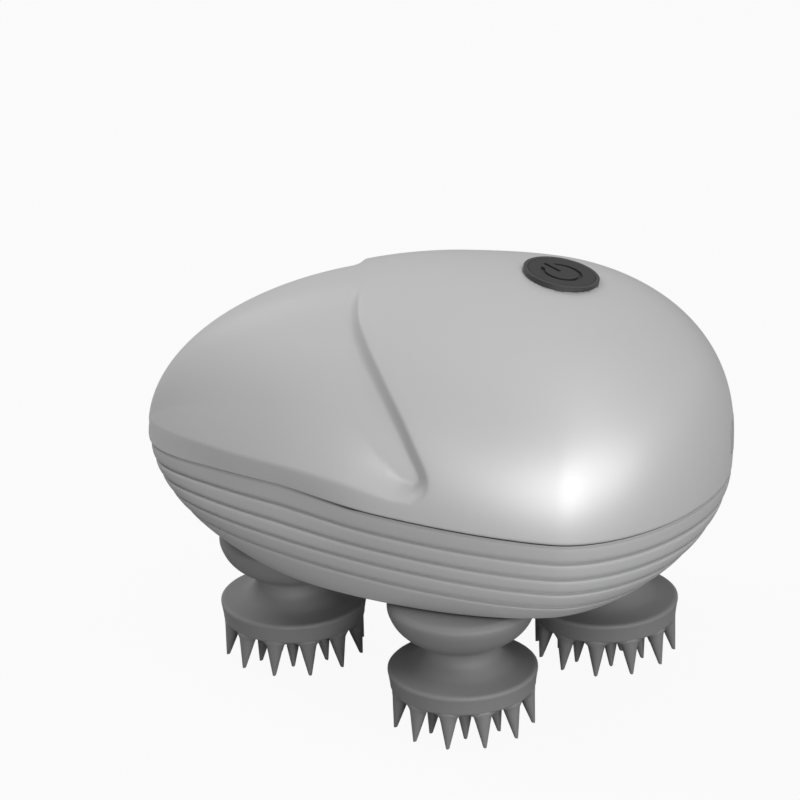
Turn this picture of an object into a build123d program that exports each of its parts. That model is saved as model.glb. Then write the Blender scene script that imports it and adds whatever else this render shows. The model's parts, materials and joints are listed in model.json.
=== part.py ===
from build123d import *
import os
from math import acos, atan2, cos, degrees, pi, radians, sin, tan

# Electric scalp massager: an egg-shaped hand piece on four turning silicone heads.
#
# Frame: millimetres, +Z up, z = 0 where the heads' teeth stand on a table. The nose of the
# hand piece points along -X, its blunt tail along +X, and the part is centred on its box.
# The housing has a frame of its own, tipped up at the nose by BODY_TILT about the Y axis.

os.makedirs("parts", exist_ok=True)

# ---------------------------------------------------------------- driving dimensions, mm

# Housing: plan outline, crown and keel, in the housing's own tilted frame.
NOSE_X = -63.0          # foremost point of the parting outline
TAIL_X = 63.0           # rearmost point of the parting outline
HALF_WIDTH = 48.5       # half width at the widest section
WIDEST_X = 25.0
PLAN_NOSE = (1.45, 1.45)
PLAN_TAIL = (1.66, 1.70)
CROWN_HEIGHT = 41.2     # crown above the parting plane
CROWN_X = 3.3
CROWN_NOSE = (1.91, 2.03)
CROWN_TAIL = (2.86, 2.61)
KEEL_DEPTH = 30.2       # depth at which the lower shell's sides would close
KEEL_X = -1.2
KEEL_NOSE = (2.14, 1.99)
KEEL_TAIL = (1.54, 2.03)
SIDE_POWERS = (5.1, 2.16)
BODY_TILT = 3.96        # nose-up tilt of the housing, degrees
PARTING_Z = 48.64       # height of the parting plane at x = 0
WALL = 2.2              # housing wall
SECTIONS = 14           # stations of the dome
COLLAR = 1.8            # wall of the collar that carries the button's ring
COLLAR_DEPTH = 4.9      # depth of the collar below the crown

# Ribbed band of the lower shell.
RIB_DEPTHS = (4.4, 8.05, 11.4, 15.05)   # depths of the four grooves below the parting plane
RIB_GROOVE = 0.6        # height of a groove
RIB_RECESS = 0.55       # depth of a groove into the wall
OUTLINE_POINTS = 13     # points on one side of a plan outline
REVEAL = 0.5            # depth of the dark line under the parting edge
REVEAL_HEIGHT = 0.35
RIB_BEVEL = 0.1         # height of a groove's slanting edge
LAST_BANDS = 5          # facets from the last groove down to the underside
ROOM_BANDS = 9          # facets of the inner wall
LEVEL_SPARE = 5.0       # how far the lowest level lies under the underside
BASE_Z = 28.5           # flat underside
FLOOR = 2.5             # thickness of the underside
FRAME_DEPTH = 15.0      # depth of the plan outline that the inner base frame follows
FRAME_INSET = 5.5
FRAME_FLOOR = 1.6
FRAME_FRONT_X = -36.0   # the frame's floor is cut square here, behind the nose

# Finger scoops on both flanks of the dome.
SCOOP_DEPTH = 3.0
SCOOP_FLUSH = 0.2       # least depth, along the crown and at the nose
SCOOP_BOTTOM = 4.4      # height of the scoop's lower edge above the parting plane
SCOOP_NOSE = 0.9        # height of that edge at the nose
SCOOP_CORNER = 3.2      # rounding of the scoop's lower rear corner
SCOOP_EDGE = ((-15.5, 46.0), (-18.7, 36.5), (-17.0, 31.5), (-11.0, 23.7), (-4.6, 14.9), (-1.4, 8.6))

# Power button on the crown.
BUTTON_X = 23.7
BUTTON_LEAN = 7.8       # tailward lean of the button's axis in the housing's frame, degrees
BUTTON_RADIUS = 7.25
BUTTON_TRAVEL = 0.6
BUTTON_RIM = 0.85       # width of the ring round the button
BUTTON_PROUD = 0.4     # ring above the crown
BUTTON_SKIRT = 4.9      # ring below the crown
BUTTON_GAP = 0.1        # running clearance round the button
BUTTON_CAP = 2.0        # thickness of the button's top
BUTTON_FOOT = 6.1       # inner radius of the button's skirt and of the ring's ledge
LEDGE = 0.8             # thickness of the ring's flange
SYMBOL_RADIUS = 4.5
SYMBOL_LINE = 0.9
SYMBOL_DEPTH = 0.35
SYMBOL_OPEN = 1.9       # half width of the opening in the symbol's ring
SYMBOL_TURN = -40.0     # turn of the symbol about the button's axis, degrees

# Heads: one ring of four, turning about upright shafts.
RING_X = 1.2            # centre of the ring of heads
RING_RADIUS = 34.0
HEAD_ANGLES = {"tail": 0.0, "left": 83.0, "nose": 180.0, "right": 277.0}
HEAD_TURNS = {"tail": 7.4, "left": 4.0, "nose": 1.2, "right": 4.0}     # each about its own axis
HEAD_TOP = 28.0
CUP_RADIUS = 15.75
NECK_RADIUS = 8.2
NECK_Z = 18.7
BOWL = ((0.70, 0.13), (0.82, 0.28), (0.91, 0.45), (0.967, 0.63), (1.0, 0.84))
SHOULDER = 1.8          # rounding of the bowl's upper edge
NECK_FLARE = 1.0        # how much wider the neck is where it meets the disc
DISC_RADIUS = 15.9
DISC_BOTTOM = 7.8
DISC_LINE = 11.2        # crisp edge round the disc
DISC_TOP = 13.9
DISC_STEP = 0.5         # rounding of the disc's edges
TEETH = ((12, 15.45, 15.0), (8, 10.5, 0.0), (4, 4.8, 45.0))   # count, outer radius, first angle
TOOTH_TIP = 0.5
TOOTH_ROOT = 2.15
TOOTH_SINK = 0.6        # how far a tooth's root runs into the disc

# Output shafts, drive hubs, seals and bushes.
SHAFT_RADIUS = 2.0
SHAFT_FOOT_Z = 14.5
RUNNING = 0.05          # radial running clearance
AXIAL = 0.3             # gap between turning faces
HUB_RADIUS = 5.2
HUB_PLATE_RADIUS = 10.5
HUB_PLATE_Z = 9.6
HUB_PLATE = 1.6
BUSH_WALL = 1.2
BUSH_FLANGE = 0.6
SEAL_RADIUS = 4.4
BUSH_BOSS_RADIUS = 5.6

# Gear train. Each wheel's face is given by its lower and upper height.
PRESSURE_ANGLE = 25.0
BACKLASH = 0.12
DRIVE_MODULE = 0.8
CENTRAL_TEETH = 68
OUTPUT_TEETH = 17
LAST_PINION_TEETH = 12
FINE_MODULE = 0.5
WHEEL_2_TEETH = 54
WHEEL_1_TEETH = 54
PINION_TEETH = 12
DRIVE_FACE = (34.6, 38.6)
WHEEL_2_FACE = (39.4, 41.6)
WHEEL_1_FACE = (42.4, 44.4)
MESH_EXTRA = 0.3        # how much further a pinion runs past its wheel's face
REDUCTION_2_ANGLE = 41.5    # direction from the ring's centre to the second reduction gear
REDUCTION_1_ANGLE = 234.0   # direction from there to the first reduction gear
MOTOR_ANGLE = 195.0         # direction from there to the motor
FLANK_POINTS = 3        # points along one flank of a tooth
GEAR_RIM = 4.0          # width of the central gear's toothed rim
GEAR_RECESS = 1.4       # depth of the hollow between its rim and hub
PIN_RADIUS = 1.5
CENTRAL_PIN_RADIUS = 2.5
CENTRAL_BOSS_RADIUS = 5.0
PIN_FOOT = 1.1          # floor left under a pin
CLIP = 0.6              # thickness of a retaining clip
CLIP_WIDTH = 1.2

# Gear plate, its posts and the long housing screws.
PLATE_Z = 46.0
PLATE = 2.0
PLATE_INSET = 6.0
POSTS = ((-22.0, 24.5), (-22.0, -24.5), (44.0, 12.0), (44.0, -12.0))
POST_RADIUS = 3.0
SCREW_RADIUS = 1.25
SCREW_HEAD_RADIUS = 2.3
SCREW_HEAD = 1.6
SCREW_TIP_Z = 56.0
SCREW_RECESS = 3.2      # depth of the hole that hides a screw's head

# Motor.
MOTOR_RADIUS = 12.2
MOTOR_LENGTH = 24.0
MOTOR_CAP = 2.0
MOTOR_NECK_RADIUS = 3.5
MOTOR_NECK = 1.2
MOTOR_SHAFT_RADIUS = 1.0
MOTOR_SCREW_SPACING = 8.5
MOTOR_WALL = 1.0
MOTOR_FACE = 1.5        # thickness of the can's closed end
MAGNET = 2.0
CORE_GAP = 1.0          # room above and below the wound core
CORE_SLOTS = 5
TERMINAL = 2.0
TERMINAL_SPACING = 7.0

# Battery and its tray, on the plate's nose end.
BATTERY = (28.0, 29.0, 11.5)
BATTERY_X = -29.0
TRAY_WALL = 1.0
TRAY_LIP = 3.0
BATTERY_EDGE = 1.5

# Control board under the button and charging board at the tail.
BOARD = (28.0, 22.0, 1.6)
BOARD_SHIFT = 1.5
BOARD_DROP = 12.6       # board's upper face below the crown, along the button's axis
BOARD_BOSS = (11.0, 8.0)
BOARD_BOSS_RADIUS = 2.2
BOARD_SCREW_RADIUS = 0.9
BOARD_SCREW_TIP = 7.5   # depth of the screws' tips below the crown
CHIPS = (               # place of one end, then length, width and height
    ((-6.5, -3.0), (7.0, 7.0, 1.2)),
    ((1.5, 4.0), (5.0, 4.0, 1.0)),
    ((-9.5, 3.5), (3.0, 3.0, 1.8)),
    ((3.0, -5.0), (4.0, 2.5, 1.6)),
)
SWITCH = (6.0, 6.0, 3.4)
PLUNGER_RADIUS = 1.7
PLUNGER_PROUD = 0.9
CHARGE_BOARD = (13.0, 14.0, 1.2)
PORT = (7.4, 8.9, 3.2)          # charging socket: depth, width, height
PORT_WALL = 0.35
PORT_MOUTH_X = 60.6
PORT_CORNER = 1.2
PORT_BACK = 1.4
PORT_SETBACK = 1.5      # board's edge behind the socket's mouth
PAD = 0.6               # height of the pads under the charging board
PLUG_FACE = (12.4, 6.6)         # dust plug's face: width, height
PLUG_THICK = 1.4
PLUG_TONGUE = 2.4
PLUG_GAP = 0.15

# Seal between the shells.
GASKET_INSET = 0.75
GASKET_WIDTH = 0.8
GASKET_HEIGHT = 1.0

# Insulated leads inside the housing.
LEAD_RADIUS = 0.6
LEAD_PITCH = 1.6
LEAD_BEND = 4.0
LEAD_SIDE = 1.0         # how far the leads lie from the motor's side
LEAD_EDGE = 10.0        # distance of the leads' ends from the board's nose edge

# ---------------------------------------------------------------- derived places

HEADS = {
    name: (RING_X + RING_RADIUS * cos(radians(angle)), RING_RADIUS * sin(radians(angle)))
    for name, angle in HEAD_ANGLES.items()
}
CENTRAL_RADIUS = DRIVE_MODULE * CENTRAL_TEETH / 2
REACH = 2 * (TAIL_X - NOSE_X)
BOARD_BOSSES = [(BOARD_SHIFT + x * BOARD_BOSS[0], y * BOARD_BOSS[1]) for x in (-1, 1) for y in (-1, 1)]


def step_from(start, angle, distance):
    """The point at a distance from start, in a direction given in degrees."""
    return (start[0] + distance * cos(radians(angle)), start[1] + distance * sin(radians(angle)))


CENTRAL_AT = (RING_X, 0.0)
REDUCTION_2_AT = step_from(
    CENTRAL_AT, REDUCTION_2_ANGLE, DRIVE_MODULE * (CENTRAL_TEETH + LAST_PINION_TEETH) / 2
)
REDUCTION_1_AT = step_from(
    REDUCTION_2_AT, REDUCTION_1_ANGLE, FINE_MODULE * (WHEEL_2_TEETH + PINION_TEETH) / 2
)
MOTOR_AT = step_from(REDUCTION_1_AT, MOTOR_ANGLE, FINE_MODULE * (WHEEL_1_TEETH + PINION_TEETH) / 2)

BODY = Pos(0, 0, PARTING_Z) * Rot(0, BODY_TILT, 0)
UPRIGHT = BODY.inverse()
FLOOR_Z = BASE_Z + FLOOR
BUSH_TOP = DRIVE_FACE[0] - AXIAL
PLATE_TOP = PLATE_Z + PLATE

parts = {}


def save(name, shape):
    """Keep a finished piece under its node name."""
    shape.label = name
    parts[name] = shape


# ---------------------------------------------------------------- housing surfaces


def profile(x, low, middle, high, nose, tail):
    """Egg-shaped share from 0 at both ends to 1 at the middle: (1 - u**p) ** (1 / q)."""
    if x < middle:
        u, (p, q) = (middle - x) / (middle - low), nose
    else:
        u, (p, q) = (x - middle) / (high - middle), tail
    return max(0.0, 1.0 - min(u, 1.0) ** p) ** (1.0 / q)


def half_width(x, inset=0.0):
    """Half width of the housing's plan outline at x, moved inwards by inset."""
    share = profile(x, NOSE_X + inset, WIDEST_X, TAIL_X - inset, PLAN_NOSE, PLAN_TAIL)
    return (HALF_WIDTH - inset) * share


def crown(x, inset=0.0):
    """Height of the dome over the parting plane at x."""
    share = profile(x, NOSE_X + inset, CROWN_X, TAIL_X - inset, CROWN_NOSE, CROWN_TAIL)
    return (CROWN_HEIGHT - inset) * share


def keel(x, inset=0.0):
    """Depth under the parting plane at which the lower shell's sides close at x."""
    share = profile(x, NOSE_X + inset, KEEL_X, TAIL_X - inset, KEEL_NOSE, KEEL_TAIL)
    return (KEEL_DEPTH - inset) * share


def stations(low, high, count):
    """Places from low to high, closer together towards both ends."""
    return [(low + high) / 2 - (high - low) / 2 * cos(pi * i / count) for i in range(count + 1)]


def scoop_share(x):
    """How deep the finger scoop is at x, from 0 at the nose to 1 at its rear edge."""
    u = (x - NOSE_X) / (SCOOP_EDGE[-1][0] - NOSE_X)
    return min(1.0, max(0.0, u)) ** 1.5


def dome(inset, scoop=0.0):
    """Closed egg whose upper half is the dome, made of elliptical sections across X."""
    low, high = NOSE_X + inset, TAIL_X - inset
    sections = [Vertex(low, 0, 0)]
    for x in stations(low, high, SECTIONS)[1:-1]:
        width = half_width(x, inset) - scoop * scoop_share(x)
        section = Ellipse(width, crown(x, inset))
        sections.append(Plane(origin=(x, 0, 0), x_dir=(0, 1, 0), z_dir=(1, 0, 0)) * section.face())
    sections.append(Vertex(high, 0, 0))
    return loft(sections)


def level_span(depth, inset):
    """The first and last x at which the lower shell still reaches a depth."""
    low, high = NOSE_X + inset, TAIL_X - inset
    ends = []
    for outer in (low, high):
        inner = KEEL_X
        for _ in range(40):
            middle = (outer + inner) / 2
            if keel(middle, inset) > depth:
                inner = middle
            else:
                outer = middle
        ends.append((outer + inner) / 2)
    return ends


def level_outline(depth, inset=0.0):
    """Plan outline of the lower shell at a depth below the parting plane, as a face."""
    low, high = (NOSE_X + inset, TAIL_X - inset) if depth <= 0 else level_span(depth, inset)
    side = []
    for x in stations(low, high, OUTLINE_POINTS)[1:-1]:
        share = 1.0
        if depth > 0:
            share = (1 - min(1.0, depth / keel(x, inset)) ** SIDE_POWERS[0]) ** (1 / SIDE_POWERS[1])
        side.append((x, half_width(x, inset) * share))
    near = [(x, -y) for x, y in reversed(side)]
    return Pos(0, 0, -depth) * make_face(Spline((low, 0), *side, (high, 0), *near, periodic=True))


def slab(low, high):
    """Everything between two heights, wide enough for the whole part."""
    return Pos(0, 0, (low + high) / 2) * Box(REACH, REACH, high - low)


def barrel(at, radius, low, high):
    """Upright cylinder at a plan position between two heights."""
    return Pos(at[0], at[1], (low + high) / 2) * Cylinder(radius, high - low)


def ring(at, outer, inner, low, high):
    """Upright tube."""
    return barrel(at, outer, low, high) - barrel(at, inner, low - 1, high + 1)


def block(x, y, z):
    """Box from its span along each axis."""
    size = [high - low for low, high in (x, y, z)]
    return Pos(*[(low + high) / 2 for low, high in (x, y, z)]) * Box(*size)


def scoop_prism(margin):
    """Side view of the finger scoops, grown by margin, run through the housing."""
    edge = [(x + margin, z) for x, z in SCOOP_EDGE]
    bottom = SCOOP_BOTTOM - margin
    corner = SCOOP_CORNER + margin
    curve = Spline(*edge)
    down, across = (edge[-1][0] - 0.2, bottom + corner), (edge[-1][0] - corner, bottom)
    round_corner = Spline(edge[-1], down, across, tangents=(curve % 1, (-1, 0)))
    far = (NOSE_X - 10, SCOOP_NOSE - margin)
    rest = Polyline(across, (edge[-1][0] - 30, bottom), far, (NOSE_X - 10, edge[0][1]), edge[0])
    side = make_face([curve, round_corner, rest])
    return extrude(Plane.XZ * side, amount=2 * HALF_WIDTH, both=True)


def button_frame():
    """Frame on the crown at the button, its Z axis along the button's travel."""
    return BODY * Pos(BUTTON_X, 0, crown(BUTTON_X)) * Rot(0, BUTTON_LEAN, 0)


def scooped(inset):
    """Whole dome egg with both finger scoops cut away, moved inwards by inset."""
    bed = dome(inset + SCOOP_FLUSH, SCOOP_DEPTH)
    return dome(inset) - (scoop_prism(inset) - bed)


def hull(levels):
    """Stack of ruled bands through (depth, inset) pairs."""
    return loft([level_outline(depth, inset).face() for depth, inset in levels], ruled=True)


# ---------------------------------------------------------------- gears


def gear_profile(module, teeth, backlash=BACKLASH):
    """Plan outline of a spur gear with straight-sided facets along involute flanks."""
    pitch = module * teeth / 2
    base = pitch * cos(radians(PRESSURE_ANGLE))
    root, tip = pitch - 1.2 * module, pitch + 0.9 * module
    half_tooth = (pi * module / 2 - backlash) / 2 / pitch
    lead = tan(radians(PRESSURE_ANGLE)) - radians(PRESSURE_ANGLE)
    flank = []
    start = max(base, root)
    for i in range(FLANK_POINTS):
        radius = start + (tip - start) * i / (FLANK_POINTS - 1)
        roll = acos(base / radius)
        flank.append((radius, half_tooth + lead - (tan(roll) - roll)))
    if base > root:
        flank.insert(0, (root, flank[0][1]))
    points = []
    for tooth in range(teeth):
        middle = 2 * pi * tooth / teeth
        for radius, half in flank:
            points.append((radius * cos(middle - half), radius * sin(middle - half)))
        for radius, half in reversed(flank):
            points.append((radius * cos(middle + half), radius * sin(middle + half)))
    return make_face(Polyline(*points, close=True))


def gear(at, module, teeth, face, phase, bore):
    """Spur gear at a plan position, its first tooth turned to phase degrees."""
    low, high = face
    wheel = extrude(gear_profile(module, teeth), amount=high - low)
    wheel -= Pos(0, 0, (high - low) / 2) * Cylinder(bore, 2 * (high - low))
    return Pos(at[0], at[1], low) * Rot(0, 0, phase) * wheel


def mesh_phase(start, end, phase, teeth, mate_teeth):
    """Phase of the mate at end, whose gap meets the tooth of the gear at start."""
    angle = degrees(atan2(end[1] - start[1], end[0] - start[0]))
    share = ((angle - phase) * teeth / 360) % 1
    return angle + 180 - (0.5 - share) * 360 / mate_teeth


# ---------------------------------------------------------------- upper shell and button

BUTTON = button_frame()
SHELL_HOLE = BUTTON_RADIUS + BUTTON_GAP + BUTTON_RIM
middle_solid = scooped(WALL / 2)
above = block((-REACH, REACH), (-REACH, REACH), (0, REACH))
supports = [BUTTON * ring((0, 0), SHELL_HOLE + COLLAR, SHELL_HOLE, -COLLAR_DEPTH, 0)]
holes = [BUTTON * barrel((0, 0), SHELL_HOLE, -2 * COLLAR_DEPTH, REACH)]
for spot in BOARD_BOSSES:
    supports.append(BUTTON * barrel(spot, BOARD_BOSS_RADIUS, -BOARD_DROP, 0))
    holes.append(BUTTON * barrel(spot, BOARD_SCREW_RADIUS, -BOARD_DROP - 1, -BOARD_SCREW_TIP))
for at in POSTS:
    supports.append(barrel(at, POST_RADIUS, PLATE_TOP, PARTING_Z + CROWN_HEIGHT))
    holes.append(barrel(at, SCREW_RADIUS, PLATE_TOP - 1, SCREW_TIP_Z))
upper = (scooped(0) & above) - scooped(WALL)
upper = upper + [UPRIGHT * support & middle_solid for support in supports]

gasket_band = level_outline(0, GASKET_INSET) - level_outline(0, GASKET_INSET + GASKET_WIDTH)
gasket = BODY * Pos(0, 0, -GASKET_HEIGHT / 2) * extrude(gasket_band, amount=GASKET_HEIGHT)

bezel = ring((0, 0), SHELL_HOLE, BUTTON_RADIUS + BUTTON_GAP, -BUTTON_SKIRT, BUTTON_PROUD)
bezel += ring((0, 0), SHELL_HOLE + COLLAR, BUTTON_FOOT, -BUTTON_SKIRT - LEDGE, -BUTTON_SKIRT)
save("button_bezel", BUTTON * bezel)

skirt_low = -BUTTON_SKIRT + BUTTON_TRAVEL + AXIAL
plunger_top = -BOARD_DROP + SWITCH[2] + PLUNGER_PROUD
button = barrel((0, 0), BUTTON_RADIUS, -BUTTON_CAP, BUTTON_PROUD)
button += ring((0, 0), BUTTON_RADIUS, BUTTON_FOOT, skirt_low, -BUTTON_CAP)
button += barrel((0, 0), PLUNGER_RADIUS, plunger_top, -BUTTON_CAP)
symbol = ring((0, 0), SYMBOL_RADIUS, SYMBOL_RADIUS - SYMBOL_LINE, -SYMBOL_DEPTH, 1)
symbol -= block((-2 * SYMBOL_RADIUS, 0), (-SYMBOL_OPEN, SYMBOL_OPEN), (-1, 2))
half_line = SYMBOL_LINE / 2
bar = block((-SYMBOL_RADIUS - half_line, 0), (-half_line, half_line), (-SYMBOL_DEPTH, 1))
symbol += bar - block((-half_line, 1), (-1, 1), (-1, 2))
save("power_button", BUTTON * (button - Pos(0, 0, BUTTON_PROUD) * Rot(0, 0, SYMBOL_TURN) * symbol))

# ---------------------------------------------------------------- charging port

plate_pad = PLATE_TOP + PAD
port_low = plate_pad + CHARGE_BOARD[2]
port_middle = port_low + PORT[2] / 2


def port_block(grow, x_low, x_high, width, height):
    """Rounded block along X round the charging port's axis."""
    outline = RectangleRounded(width + 2 * grow, height + 2 * grow, PORT_CORNER + grow)
    return Pos(x_low, 0, port_middle) * extrude(Plane.YZ * outline, amount=x_high - x_low)


plug_back = TAIL_X - PLUG_THICK
holes.append(port_block(PLUG_GAP, plug_back - PLUG_GAP, REACH, *PLUG_FACE))
holes.append(port_block(AXIAL, PORT_MOUTH_X - PORT[0], REACH, PORT[1], PORT[2]))
save("upper_shell", BODY * (upper - [UPRIGHT * hole for hole in (*holes, gasket)]))

plug = port_block(0, plug_back, REACH, *PLUG_FACE) & (BODY * dome(0))
tongue = (PORT[1] - 2 * PORT_WALL - 2 * PLUG_GAP, PORT[2] - 2 * PORT_WALL - 2 * PLUG_GAP)
tongue_shape = RectangleRounded(*tongue, tongue[1] / 3)
plug += Pos(plug_back - PLUG_TONGUE, 0, port_middle) * extrude(
    Plane.YZ * tongue_shape, amount=PLUG_TONGUE + PLUG_THICK / 2
)
save("port_plug", plug)

socket_shape = RectangleRounded(PORT[1], PORT[2], PORT_CORNER)
mouth = (PORT[1] - 2 * PORT_WALL, PORT[2] - 2 * PORT_WALL)
socket = Pos(PORT_MOUTH_X - PORT[0], 0, port_middle) * extrude(Plane.YZ * socket_shape, amount=PORT[0])
socket -= Pos(PORT_MOUTH_X - PORT[0] + PORT_BACK, 0, port_middle) * extrude(
    Plane.YZ * RectangleRounded(*mouth, PORT_CORNER - PORT_WALL), amount=PORT[0]
)
contact = (PORT_MOUTH_X - PORT[0] + PORT_BACK / 2, PORT_MOUTH_X - PLUG_TONGUE - 2 * AXIAL)
socket += block(contact, (-mouth[0] / 3, mouth[0] / 3), (port_middle - 0.35, port_middle + 0.35))
save("usb_socket", socket)

half = CHARGE_BOARD[1] / 2
board_span = (PORT_MOUTH_X - PORT_SETBACK - CHARGE_BOARD[0], PORT_MOUTH_X - PORT_SETBACK)
charge_board = block(board_span, (-half, half), (plate_pad, port_low))
save("charge_board", charge_board)

# ---------------------------------------------------------------- lower shell

levels = [(0, REVEAL), (REVEAL_HEIGHT - RIB_BEVEL, REVEAL), (REVEAL_HEIGHT, 0)]
for depth in RIB_DEPTHS:
    top, bottom = depth - RIB_GROOVE / 2, depth + RIB_GROOVE / 2
    levels += [(top, 0), (top + RIB_BEVEL, RIB_RECESS), (bottom - RIB_BEVEL, RIB_RECESS), (bottom, 0)]
deepest = PARTING_Z - BASE_Z + LEVEL_SPARE
start = levels[-1][0]
levels += [(start + (deepest - start) * i / LAST_BANDS, 0) for i in range(1, LAST_BANDS + 1)]
room = [(deepest * i / ROOM_BANDS, WALL) for i in range(ROOM_BANDS + 1)]


def walls(levels, lowest):
    """Sides and bottom of a hull cut off level at a height, and the outline of its open top."""
    faces = (hull(levels) & UPRIGHT * slab(lowest, REACH)).faces().sort_by(Axis.Z)
    return faces[:-1], faces[-1].outer_wire()


outside, rim = walls(levels, BASE_Z)
inside, mouth = walls(room, FLOOR_Z)
lower = Solid(Shell([*outside, *inside, Face(rim, [mouth])]))
holes = [UPRIGHT * gasket]
for at in HEADS.values():
    holes.append(UPRIGHT * barrel(at, SEAL_RADIUS, BASE_Z - 1, FLOOR_Z + 1))
for at in POSTS:
    holes.append(UPRIGHT * barrel(at, SCREW_HEAD_RADIUS, BASE_Z - 1, FLOOR_Z + 1))
save("lower_shell", BODY * (lower - holes))

frame = extrude(level_outline(FRAME_DEPTH, FRAME_INSET), amount=FRAME_FLOOR)
frame = Pos(0, 0, FLOOR_Z - frame.bounding_box().min.Z) * frame
frame -= block((-REACH, FRAME_FRONT_X), (-REACH, REACH), (0, REACH))
boss_top = BUSH_TOP - AXIAL
bosses = [
    barrel(CENTRAL_AT, CENTRAL_BOSS_RADIUS, FLOOR_Z, boss_top),
    barrel(REDUCTION_2_AT, BUSH_BOSS_RADIUS / 2, FLOOR_Z, boss_top),
]
holes = [
    barrel(CENTRAL_AT, CENTRAL_PIN_RADIUS, FLOOR_Z + PIN_FOOT, REACH),
    barrel(REDUCTION_2_AT, PIN_RADIUS, FLOOR_Z + PIN_FOOT, REACH),
]
for at in HEADS.values():
    bosses.append(barrel(at, BUSH_BOSS_RADIUS, FLOOR_Z, BUSH_TOP - BUSH_FLANGE))
    holes.append(barrel(at, SHAFT_RADIUS + BUSH_WALL, FLOOR_Z - 1, REACH))
for at in POSTS:
    bosses.append(barrel(at, POST_RADIUS, FLOOR_Z, PLATE_Z))
    holes.append(barrel(at, SCREW_RADIUS, FLOOR_Z - 1, REACH))
    holes.append(barrel(at, SCREW_HEAD_RADIUS, FLOOR_Z - 1, BASE_Z + SCREW_RECESS))
save("base_frame", (frame + bosses) - holes)
save("shell_gasket", gasket)

screws = []
for at in POSTS:
    seat = BASE_Z + SCREW_RECESS
    screw = barrel(at, SCREW_RADIUS, seat, SCREW_TIP_Z)
    screw += barrel(at, SCREW_HEAD_RADIUS, seat - SCREW_HEAD, seat)
    across = SCREW_HEAD_RADIUS * 0.6
    for size in ((across, across / 4), (across / 4, across)):
        screw -= block(
            (at[0] - size[0], at[0] + size[0]),
            (at[1] - size[1], at[1] + size[1]),
            (seat - SCREW_HEAD - 1, seat - SCREW_HEAD / 2),
        )
    screws.append(screw)
save("housing_screws", Compound(children=screws))

# ---------------------------------------------------------------- gear plate

plate = extrude(level_outline(0, PLATE_INSET), amount=PLATE)
plate = Pos(0, 0, PLATE_Z - level_outline(0, PLATE_INSET).center().Z) * plate
plate -= block((-REACH, BATTERY_X - BATTERY[0] / 2 - TRAY_WALL - PAD), (-REACH, REACH), (0, REACH))
plate -= block((board_span[1], REACH), (-REACH, REACH), (0, REACH))
for x in (board_span[0] + PAD, TAIL_X - PLATE_INSET - 4 * PAD):
    plate += block((x, x + 2 * PAD), (-half + 2, half - 2), (PLATE_TOP, plate_pad))
for at in HEADS.values():
    plate -= barrel(at, SHAFT_RADIUS + BUSH_WALL, PLATE_Z - 1, PLATE_TOP + 1)
for at in POSTS:
    plate -= barrel(at, SCREW_RADIUS, PLATE_Z - 1, PLATE_TOP + 1)
plate -= barrel(MOTOR_AT, MOTOR_NECK_RADIUS, PLATE_Z - 1, PLATE_TOP + 1)
for at in (REDUCTION_1_AT, REDUCTION_2_AT):
    plate -= barrel(at, PIN_RADIUS, PLATE_Z - 1, PLATE_TOP + 1)
motor_screw_spots = [
    step_from(MOTOR_AT, MOTOR_ANGLE + turn, MOTOR_SCREW_SPACING) for turn in (90, -90)
]
for at in motor_screw_spots:
    plate -= barrel(at, MOTOR_SHAFT_RADIUS, PLATE_Z - 1, PLATE_TOP + 1)
save("gear_plate", plate)

# ---------------------------------------------------------------- heads and their drives


def tooth(radius, count, turn):
    """One ring of pointed teeth with upright outer faces."""
    ring_of_teeth = []
    for height, size in ((DISC_BOTTOM + TOOTH_SINK, TOOTH_ROOT), (0, TOOTH_TIP)):
        spot = Pos(radius - size, 0, height)
        ring_of_teeth.append(spot * Circle(size).face())
    single = loft(ring_of_teeth, ruled=True)
    return [Rot(0, 0, turn + 360 * i / count) * single for i in range(count)]


silhouette = [
    (0, DISC_BOTTOM),
    (DISC_RADIUS - DISC_STEP, DISC_BOTTOM),
    (DISC_RADIUS, DISC_BOTTOM + DISC_STEP),
    (DISC_RADIUS, DISC_LINE),
    (DISC_RADIUS - DISC_STEP, DISC_LINE + DISC_STEP),
    (NECK_RADIUS + NECK_FLARE, DISC_TOP),
    (NECK_RADIUS, NECK_Z),
]
bowl = [(NECK_RADIUS, NECK_Z)]
for share, height in BOWL:
    bowl.append((CUP_RADIUS * share, NECK_Z + (HEAD_TOP - NECK_Z) * height))
shoulder = (bowl[-1][0] - SHOULDER, HEAD_TOP)
outline = Polyline(*silhouette) + Spline(*bowl)
outline += Spline(bowl[-1], shoulder, tangents=((0, 1), (-1, 0)))
outline += Polyline(shoulder, (0, HEAD_TOP), (0, DISC_BOTTOM))
head = revolve(make_face(Plane.XZ * outline), Axis.Z)
for count, radius, first in TEETH:
    for one in tooth(radius, count, first):
        head += one
hub = barrel((0, 0), HUB_RADIUS, HUB_PLATE_Z, HEAD_TOP)
hub += barrel((0, 0), HUB_PLATE_RADIUS, HUB_PLATE_Z, HUB_PLATE_Z + HUB_PLATE)
head -= hub
hub -= barrel((0, 0), SHAFT_RADIUS, SHAFT_FOOT_Z, HEAD_TOP)

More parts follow.
